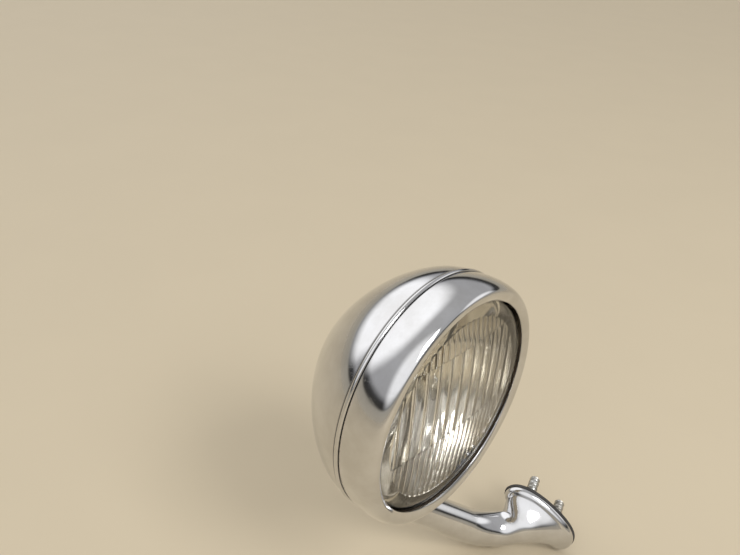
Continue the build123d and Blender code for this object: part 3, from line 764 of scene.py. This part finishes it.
def add_node(tree, kind, inputs=None, **settings):
    """A shader node with its settings, its values and the sockets that feed it."""
    made = tree.nodes.new("ShaderNode" + kind)
    for key, value in settings.items():
        setattr(made, key, value)
    feed(made, inputs or {})
    return made


# The next functions add a node to the tree of their first socket, and give what comes out of it

def arithmetic(operation, first, second):
    """One step of arithmetic on a socket and a value."""
    return add_node(first.id_data, "Math", {0: first, 1: second}, operation=operation).outputs[0]


def times(first, second):
    """Two values multiplied."""
    return arithmetic("MULTIPLY", first, second)


def plus(total, *others):
    """Values added up."""
    for other in others:
        total = arithmetic("ADD", total, other)
    return total


def between(value, low, high, start=0.0, end=1.0):
    """A value taken smoothly from one range to another."""
    ends = {"Value": value, "From Min": low, "From Max": high, "To Min": start, "To Max": end}
    return add_node(value.id_data, "MapRange", ends, interpolation_type="SMOOTHSTEP").outputs["Result"]


def noise(place, scale, detail, **more):
    """Soft noise from 0 to 1."""
    inputs = {"Vector": place, "Scale": scale, "Detail": detail, **more}
    return add_node(place.id_data, "TexNoise", inputs).outputs["Fac"]


def mixed(share, first, second):
    """A colour between two, by a share."""
    first, second = (end if isinstance(end, bpy.types.NodeSocket) else (*end, 1.0) for end in (first, second))
    return add_node(share.id_data, "Mix", {0: share, 6: first, 7: second}, data_type="RGBA").outputs[2]


def bump(height):
    """A normal from a height in metres."""
    return add_node(height.id_data, "Bump", {"Height": height, "Strength": 1.0, "Distance": 1.0}).outputs[0]


def shared(name, place, **inputs):
    """What comes out of one of the shared groups, placed in a material."""
    return add_node(place.id_data, "Group", {"Vector": place, **inputs}, node_tree=GROUPS[name]).outputs


def new_group(name, numbers, results):
    """A shader group for a place and some numbers; gives what comes in and the node for what goes out."""
    tree = bpy.data.node_groups.new(name, "ShaderNodeTree")
    tree.interface.new_socket("Vector", in_out="INPUT", socket_type="NodeSocketVector")
    for label, value in numbers.items():
        tree.interface.new_socket(label, in_out="INPUT", socket_type="NodeSocketFloat").default_value = value
    for label in results:
        tree.interface.new_socket(label, in_out="OUTPUT", socket_type="NodeSocketFloat")
    return tree.nodes.new("NodeGroupInput").outputs, tree.nodes.new("NodeGroupOutput")


def build_scratches():
    """Hairlines: the thin borders of cells drawn out along three directions, broken up by noise."""
    given, end = new_group("Hairline scratches", {"Scale": 400.0, "Amount": 0.5}, ("Mask",))
    place, total = given["Vector"], 0.0
    for turn, stretch in (((0.4, 0.9, 0.2), 0.05), ((1.7, 0.3, 1.1), 0.07), ((0.9, 2.2, 2.6), 0.04)):
        drawn = {"Vector": place, "Rotation": turn, "Scale": (stretch, 1.0, 1.0)}
        cells = {"Vector": add_node(end.id_data, "Mapping", drawn).outputs[0], "Scale": given["Scale"]}
        border = add_node(end.id_data, "TexVoronoi", cells, feature="DISTANCE_TO_EDGE").outputs["Distance"]
        total = arithmetic("MAXIMUM", between(border, 0.0, 0.014, 1.0, 0.0), total)
    broken = between(noise(place, 260.0, 2.0), 0.5, 0.64)
    feed(end, {"Mask": times(times(total, broken), given["Amount"])})
    return end.id_data


def build_film():
    """A dull film: soft blotches of two sizes, thicker in the recesses that the mesh marks."""
    given, end = new_group("Dull film", {"Scale": 60.0, "Recess": 0.0}, ("Mask", "Speckle"))
    cloud = between(noise(given["Vector"], given["Scale"], 5.0, Roughness=0.6), 0.30, 0.70)
    small = noise(given["Vector"], 900.0, 3.0)
    edge = times(given["Recess"], between(small, 0.3, 0.6, 0.55, 1.0))
    feed(end, {"Mask": arithmetic("MAXIMUM", cloud, edge), "Speckle": between(small, 0.64, 0.72)})
    return end.id_data


def build_waves():
    """Hand polishing: broad shallow waves and a finer ripple, as a height in metres."""
    given, end = new_group("Polished waves", {"Height": 0.0001}, ("Height",))
    both = plus(noise(given["Vector"], 38.0, 0.0), times(noise(given["Vector"], 150.0, 1.0), 0.12))
    feed(end, {"Height": times(both, given["Height"])})
    return end.id_data


def blank_material(name, **sockets):
    """A material with its main shader, its output, its place in object space and its recess value."""
    material = bpy.data.materials.new(name)
    material.use_nodes = True
    tree = material.node_tree
    tree.nodes.clear()
    main = add_node(tree, "BsdfPrincipled", sockets)
    add_node(tree, "OutputMaterial", {"Surface": main.outputs[0]})
    place = add_node(tree, "TexCoord").outputs["Object"]
    return material, main, place, add_node(tree, "Attribute", attribute_name="recess").outputs["Fac"]


def plated(name, colour, film_colour, waves, scratches, roughness, dulling):
    """Polished plating with waves, hairlines, a dull film, and grime and painted shade in its recesses."""
    material, main, place, recess = blank_material(name, Metallic=1.0)
    film = shared("film", place, Recess=recess)["Mask"]
    lines = shared("scratches", place, Amount=scratches)["Mask"]
    height = shared("waves", place, Height=waves)["Height"]
    # Near black in the recesses and joints: partly grime, partly painted shade.
    grime_and_shade = between(recess, 0.35, 1.0, 0.0, 0.85)
    tint = mixed(times(film, dulling), colour, film_colour)
    feed(main, {"Base Color": mixed(grime_and_shade, tint, (0.05, 0.045, 0.04)),
                "Roughness": plus(times(film, 0.05), roughness, times(lines, 0.35), times(grime_and_shade, 0.4)),
                "Normal": bump(plus(height, times(lines, -0.000002)))})
    return material


def glass_finish(name, colour, haze):
    """Clear pressed glass with fine wear and a trace of dust in its recesses."""
    sockets = {"Metallic": 0.0, "Transmission Weight": 1.0, "IOR": 1.5}
    material, main, place, recess = blank_material(name, **sockets)
    film = shared("film", place, Recess=recess, Scale=90.0)["Mask"]
    lines = shared("scratches", place, Amount=0.5, Scale=300.0)["Mask"]
    dusty = tuple(0.88 * part for part in colour)
    feed(main, {"Base Color": mixed(times(film, 0.5), colour, dusty),
                "Roughness": plus(times(film, haze), 0.01, times(lines, 0.15))})
    return material


def soft_finish(name, colour, worn, grain, roughness):
    """Rubber or cork: a grained, unevenly worn surface."""
    material, main, place, recess = blank_material(name, Metallic=0.0)
    film = shared("film", place, Recess=recess, Scale=140.0)["Mask"]
    feed(main, {"Base Color": mixed(film, colour, worn),
                "Roughness": between(film, 0.0, 1.0, roughness, roughness + 0.2),
                "Normal": bump(times(noise(place, grain, 4.0), 0.0002))})
    return material


def metal_finish(name, colour, dull, roughness, stain):
    """Plain worked metal: machining haze, scratches and stains."""
    material, main, place, recess = blank_material(name, Metallic=1.0)
    film = shared("film", place, Recess=recess, Scale=180.0)
    lines = shared("scratches", place, Amount=0.8, Scale=500.0)["Mask"]
    spotted = arithmetic("MAXIMUM", times(film["Mask"], stain), film["Speckle"])
    feed(main, {"Base Color": mixed(spotted, colour, dull),
                "Roughness": plus(times(spotted, 0.22), roughness, times(lines, 0.2)),
                "Normal": bump(times(lines, -0.00001))})
    return material


# Settings

class LampShapes(bpy.types.PropertyGroup):
    """Small forms that a user may change without moving anything else."""
    fine_pitch: bpy.props.FloatProperty(
        name="Fine Pitch", description="Width of one narrow flute", default=0.00375, min=0.002, unit="LENGTH")
    fine_depth: bpy.props.FloatProperty(
        name="Fine Depth", description="Depth of one narrow flute", default=0.0008, min=0.0002, unit="LENGTH")
    wide_pitch: bpy.props.FloatProperty(
        name="Wide Pitch", description="Width of one wide flute", default=0.0075, min=0.004, unit="LENGTH")
    wide_depth: bpy.props.FloatProperty(
        name="Wide Depth", description="Depth of one wide flute", default=0.0012, min=0.0002, unit="LENGTH")
    lip_round: bpy.props.FloatProperty(
        name="Rolled Edge", description="How far the rim's rolled edge bulges, in sheet thicknesses",
        default=0.35, min=0.1, max=0.6)
    thread_pitch: bpy.props.FloatProperty(
        name="Thread Pitch", description="Pitch of a stud's thread", default=0.001, min=0.0005, unit="LENGTH")


class LampFinish(bpy.types.PropertyGroup):
    """Colours and wear."""
    chrome: bpy.props.FloatVectorProperty(
        name="Chrome", description="Colour of the plating", default=(0.68, 0.68, 0.69), subtype="COLOR")
    film: bpy.props.FloatVectorProperty(
        name="Dull Film", description="Colour of old plating", default=(0.44, 0.425, 0.40), subtype="COLOR")
    silver: bpy.props.FloatVectorProperty(
        name="Silvering", description="Colour of the reflector", default=(0.82, 0.81, 0.78), subtype="COLOR")
    glass: bpy.props.FloatVectorProperty(
        name="Glass", description="Tint of the lens", default=(0.96, 0.955, 0.93), subtype="COLOR")
    brass: bpy.props.FloatVectorProperty(
        name="Brass", description="Colour of the socket and cap", default=(0.60, 0.44, 0.20), subtype="COLOR")
    rubber: bpy.props.FloatVectorProperty(
        name="Rubber", description="Colour of pad and grommet", default=(0.022, 0.021, 0.02), subtype="COLOR")
    waves: bpy.props.FloatProperty(
        name="Waviness", description="Height of the plating's waves", default=0.00012, min=0.0, unit="LENGTH")
    scratches: bpy.props.FloatProperty(
        name="Scratches", description="Share of hairlines", default=0.4, min=0.0, max=1.0, subtype="FACTOR")
    dulling: bpy.props.FloatProperty(
        name="Dulling", description="Strength of the film", default=0.35, min=0.0, max=1.0, subtype="FACTOR")


class LampStudio(bpy.types.PropertyGroup):
    """Floor and light."""
    floor: bpy.props.FloatVectorProperty(
        name="Floor", description="Colour of the floor", default=(0.59, 0.50, 0.355), subtype="COLOR")
    floor_height: bpy.props.FloatProperty(
        name="Floor Height", description="Height of the floor under the foot's middle", default=-0.0175,
        unit="LENGTH")
    key_power: bpy.props.FloatProperty(
        name="Key Light", description="Power of the soft light, in watts", default=18.0, min=0.0)


# Operators

class COWL_LAMP_OT_finishes(bpy.types.Operator):
    """Build the shared shader groups and the finishes."""
    bl_idname = "cowl_lamp.finishes"
    bl_label = "Finishes"

    def execute(self, context):
        look = context.scene.cowl_lamp_finish
        GROUPS.update(scratches=build_scratches(), film=build_film(), waves=build_waves())
        for key, name, waves, roughness in (
                ("casting", "Chrome on casting", 1.3, 0.07), ("shell", "Chrome on shell", 1.0, 0.06),
                ("rim", "Chrome on rim", 0.7, 0.05)):
            FINISHES[key] = plated(name, tuple(look.chrome), tuple(look.film), look.waves * waves,
                                   look.scratches, roughness, look.dulling)
        FINISHES.update(
            silver=plated("Silvered sheet", tuple(look.silver), (0.40, 0.35, 0.27), look.waves * 0.3,
                          0.2, 0.05, 0.7),
            lens=glass_finish("Lens glass", tuple(look.glass), 0.06),
            bulb=glass_finish("Bulb glass", (0.97, 0.97, 0.96), 0.02),
            brass=metal_finish("Brass", tuple(look.brass), (0.22, 0.14, 0.06), 0.24, 0.8),
            zinc=metal_finish("Zinc plated steel", (0.55, 0.55, 0.53), (0.30, 0.27, 0.22), 0.30, 0.7),
            spring=metal_finish("Spring steel", (0.33, 0.33, 0.35), (0.16, 0.11, 0.08), 0.26, 0.6),
            wire=metal_finish("Filament wire", (0.40, 0.39, 0.38), (0.20, 0.20, 0.20), 0.30, 0.5),
            rubber=soft_finish("Black rubber", tuple(look.rubber), (0.060, 0.056, 0.050), 1400.0, 0.55),
            cork=soft_finish("Cork", (0.115, 0.085, 0.058), (0.060, 0.045, 0.032), 700.0, 0.75))
        return {"FINISHED"}


class COWL_LAMP_OT_shell(bpy.types.Operator):
    """Spin the shell: a bowl with a rolled lip and the neck that carries the rim."""
    bl_idname = "cowl_lamp.shell"
    bl_label = "Shell"

    def execute(self, context):
        profile = shell_profile()
        # Grime and painted shade at the lip and over the neck that the rim hides.
        grime_and_shade = near(profile, ((LIP_BACK, SEAM_RADIUS - 0.1), (0.1, SEAM_RADIUS - 0.4)), 0.9)
        grime_and_shade = np.maximum(grime_and_shade, (profile[:, 0] > 0.05) * 0.9)
        add_turned("shell_skin", profile, "shell", "head", "chrome_shell", "shell", grime_and_shade, loop=False)
        return {"FINISHED"}


class COWL_LAMP_OT_rim(bpy.types.Operator):
    """Press the rim: a ring that swells past the seam and rolls in to the glass."""
    bl_idname = "cowl_lamp.rim"
    bl_label = "Rim"

    def execute(self, context):
        profile = rim_profile(context.scene.cowl_lamp_shapes.lip_round)
        # Grime and painted shade where the rim meets the shell and the glass.
        grime_and_shade = near(profile, ((0.4, 56.5), (16.2, 50.7)), 0.8)
        add_turned("rim_skin", profile, "rim", "rim", "chrome_rim", "rim", grime_and_shade)
        return {"FINISHED"}


class COWL_LAMP_OT_lens(bpy.types.Operator):
    """Press the lens with its three bands of upright flutes, and lay its gasket."""
    bl_idname = "cowl_lamp.lens"
    bl_label = "Lens and Gasket"

    def execute(self, context):
        mesh = lens_mesh(context.scene.cowl_lamp_shapes)
        finish_piece(mesh, "lens", "rim", "lens_glass", ("lens",), merge=WELD, crease=40)
        add_turned("gasket_ring", softened(GASKET, 0.25), "cork", "rim", "cork_gasket", "lens_gasket")
        return {"FINISHED"}


class COWL_LAMP_OT_reflector(bpy.types.Operator):
    """Spin the silvered reflector."""
    bl_idname = "cowl_lamp.reflector"
    bl_label = "Reflector"

    def execute(self, context):
        profile = reflector_profile()
        # Grime and painted shade round the socket's hole.
        grime_and_shade = 0.8 * near(profile, ((VERTEX + 1.3, REFLECTOR_HOLE),), 1.6)
        add_turned("reflector_skin", profile, "silver", "head", "silvered_reflector", "reflector", grime_and_shade)
        return {"FINISHED"}


class COWL_LAMP_OT_bulb(bpy.types.Operator):
    """Blow the bulb, wind its filament, and turn its cap and its socket."""
    bl_idname = "cowl_lamp.bulb"
    bl_label = "Bulb and Socket"

    def execute(self, context):
        add_turned("bulb_envelope", bulb_profile(), "bulb", "head", "bulb_glass", "bulb_glass",
                   steps=SMALL_RING, merge=WELD)
        add_piece("bulb_filament", filament_rows(), "wire", "head", "zinc_steel", loop=False)
        add_turned("bulb_cap_skin", softened(CAP, 0.22), "brass", "head", "brass_cap", "bulb_cap",
                   steps=SMALL_RING)
        add_turned("bulb_socket_skin", np.array(SOCKET), "brass", "head", "brass_socket", "bulb_socket",
                   steps=SMALL_RING, loop=False)
        return {"FINISHED"}


class COWL_LAMP_OT_arm(bpy.types.Operator):
    """Cast the foot's flange, its flare and the curved arm in one skin."""
    bl_idname = "cowl_lamp.arm"
    bl_label = "Arm and Foot"

    def execute(self, context):
        rows, grime_and_shade = arm_rows()
        add_piece("arm_skin", [rows], "casting", "arm", "chrome_casting", ("arm",), grime_and_shade, crease=50)
        return {"FINISHED"}


class COWL_LAMP_OT_saddle(bpy.types.Operator):
    """Shape the saddle between the arm and the shell."""
    bl_idname = "cowl_lamp.saddle"
    bl_label = "Saddle"

    def execute(self, context):
        rows, grime_and_shade = saddle_rows()
        add_piece("saddle_skin", [rows], "casting", "head", "chrome_casting", ("saddle",), grime_and_shade)
        return {"FINISHED"}


class COWL_LAMP_OT_foot(bpy.types.Operator):
    """Mould the pad and the grommet, and cut the threads of the two foot studs."""
    bl_idname = "cowl_lamp.foot"
    bl_label = "Pad, Grommet and Studs"

    def execute(self, context):
        add_piece("foot_pad_skin", [pad_rows()], "rubber", "arm", "black_rubber", ("foot_pad",))
        across = turned(softened(GROMMET, 0.35), circle(72))[:, :, (1, 0, 2)] * MM
        add_piece("wire_grommet_skin", [across], "rubber", "arm", "black_rubber", ("wire_grommet",))
        pitch = context.scene.cowl_lamp_shapes.thread_pitch / MM
        for number, (x, z) in enumerate(STUD_PLACES, 1):
            add_piece("foot_stud_%d_thread" % number, [foot_stud_rows(x, z, pitch)], "zinc", "arm",
                      "zinc_steel", ("foot_stud_%d" % number,), loop=False)
        return {"FINISHED"}


class COWL_LAMP_OT_fittings(bpy.types.Operator):
    """Finish the small fittings that keep their shape: clips, nut, washer, stud and packing."""
    bl_idname = "cowl_lamp.fittings"
    bl_label = "Small Fittings"

    def execute(self, context):
        for number in range(1, 5):
            dress_node("lens_clip_%d" % number, "spring")
        for name in ("pivot_stud", "pivot_washer", "pivot_nut", "inner_saddle"):
            dress_node(name, "zinc")
        return {"FINISHED"}


class COWL_LAMP_OT_studio(bpy.types.Operator):
    """Lay the pale floor, light the sky, hang the soft light and set up the camera."""
    bl_idname = "cowl_lamp.studio"
    bl_label = "Studio"

    def execute(self, context):
        studio = context.scene.cowl_lamp_studio
        lay_floor(studio.floor_height, tuple(studio.floor))
        light_sky()
        hang_key_light(studio.key_power)
        place_camera()
        context.scene.view_settings.view_transform = "Standard"
        return {"FINISHED"}


def lay_floor(height, colour):
    """A flat disc: rings of radius r at angle a, with a slightly uneven matt surface."""
    r = np.geomspace(*FLOOR_SPAN, FLOOR_RINGS)[:, None]
    a = circle(SMALL_RING)
    grid = together(r * np.cos(a), r * np.sin(a), height)
    points = np.concatenate((grid.reshape(-1, 3), ((0, 0, height),)))
    mesh = mesh_of("floor", points, quads(FLOOR_RINGS, SMALL_RING, False),
                   fan(np.arange(SMALL_RING), len(points) - 1, True))
    material, main, place, _ = blank_material("Floor", Metallic=0.0, Roughness=0.7)
    share = between(noise(place, 12.0, 3.0), 0.3, 0.7, 0.0, 0.06)
    feed(main, {"Base Color": mixed(share, colour, tuple(0.8 * part for part in colour))})
    mesh.materials.append(material)
    floor = new_object("floor", mesh)


def light_sky():
    """A soft sky: its colour by height, with a dark belt that edges the chrome, and soft windows.

    A window adds its light by a smooth step of the cosine between a direction and its middle,
    times a smooth step of the height.
    """
    world = bpy.data.worlds.new("Studio sky")
    bpy.context.scene.world = world
    world.use_nodes = True
    tree = world.node_tree
    tree.nodes.clear()
    direction = add_node(tree, "TexCoord").outputs["Generated"]
    height = add_node(tree, "SeparateXYZ", {0: direction}).outputs["Z"]
    ramp = add_node(tree, "ValToRGB", {"Fac": height})
    for _ in SKY[2:]:
        ramp.color_ramp.elements.new(0.5)
    for element, (place, colour) in zip(ramp.color_ramp.elements, SKY):
        element.position = place
        element.color = (*colour, 1.0)
    total = ramp.outputs["Color"]
    for middle, edge, full, strength in WINDOWS:
        turn = add_node(tree, "VectorMath", {0: direction, 1: middle}, operation="DOT_PRODUCT")
        window = between(turn.outputs["Value"], edge, full, 0.0, strength)
        share = times(window, between(height, *WINDOW_FOOT))
        lit = {0: share, 6: total, 7: (1, 1, 1, 1)}
        total = add_node(tree, "Mix", lit, data_type="RGBA", blend_type="ADD").outputs[2]
    glow = add_node(tree, "Background", {"Color": total, "Strength": 1.0})
    add_node(tree, "OutputWorld", {"Surface": glow.outputs[0]})


def set_place(name, data, right, up, back, place):
    """Link a light or camera at a place, with the given directions as its axes."""
    thing = new_object(name, data)
    turn = np.eye(4)
    turn[:3] = np.stack((right, up, back, place), 1)
    thing.matrix_world = Matrix(turn.tolist())
    return thing


def hang_key_light(power):
    """A square soft light that looks from its place at the lamp."""
    data = bpy.data.lights.new("key_light", "AREA")
    data.size = KEY_SIZE
    data.energy = power
    back = unit(KEY_PLACE - KEY_AIM)
    right = unit(np.cross(UPRIGHT, back))
    set_place("key_light", data, right, np.cross(back, right), back, KEY_PLACE)


def place_camera():
    """The photograph's viewpoint and angle."""
    data = bpy.data.cameras.new("camera")
    data.lens, data.sensor_width, data.sensor_fit = CAMERA_LENS, CAMERA_SENSOR, "HORIZONTAL"
    data.clip_start = 0.01
    bpy.context.scene.camera = set_place("camera", data, *CAMERA_AXES, CAMERA_PLACE)


STEPS = (
    COWL_LAMP_OT_finishes, COWL_LAMP_OT_shell, COWL_LAMP_OT_rim, COWL_LAMP_OT_lens, COWL_LAMP_OT_reflector,
    COWL_LAMP_OT_bulb, COWL_LAMP_OT_arm, COWL_LAMP_OT_saddle, COWL_LAMP_OT_foot, COWL_LAMP_OT_fittings,
    COWL_LAMP_OT_studio)


class COWL_LAMP_PT_panel(bpy.types.Panel):
    """Lists the settings, and the steps in the order in which they run."""
    bl_idname = "COWL_LAMP_PT_panel"
    bl_label = "Cowl Lamp"
    bl_space_type = "VIEW_3D"
    bl_region_type = "UI"
    bl_category = "Cowl Lamp"

    def draw(self, context):
        scene = context.scene
        for settings in (scene.cowl_lamp_shapes, scene.cowl_lamp_finish, scene.cowl_lamp_studio):
            box = self.layout.box()
            for key in settings.__annotations__:
                box.prop(settings, key)
        for step in STEPS:
            self.layout.operator(step.bl_idname)


CLASSES = (LampShapes, LampFinish, LampStudio, *STEPS, COWL_LAMP_PT_panel)


def register():
    """Make the classes and settings known."""
    for item in CLASSES:
        bpy.utils.register_class(item)
    bpy.types.Scene.cowl_lamp_shapes = bpy.props.PointerProperty(type=LampShapes)
    bpy.types.Scene.cowl_lamp_finish = bpy.props.PointerProperty(type=LampFinish)
    bpy.types.Scene.cowl_lamp_studio = bpy.props.PointerProperty(type=LampStudio)


def unregister():
    """Take the settings and classes away again."""
    del bpy.types.Scene.cowl_lamp_shapes
    del bpy.types.Scene.cowl_lamp_finish
    del bpy.types.Scene.cowl_lamp_studio
    for item in reversed(CLASSES):
        bpy.utils.unregister_class(item)


def main():
    """Run every step."""
    register()
    for step in STEPS:
        group, name = step.bl_idname.split(".")
        getattr(getattr(bpy.ops, group), name)()
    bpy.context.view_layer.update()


if __name__ == "__main__":
    main()
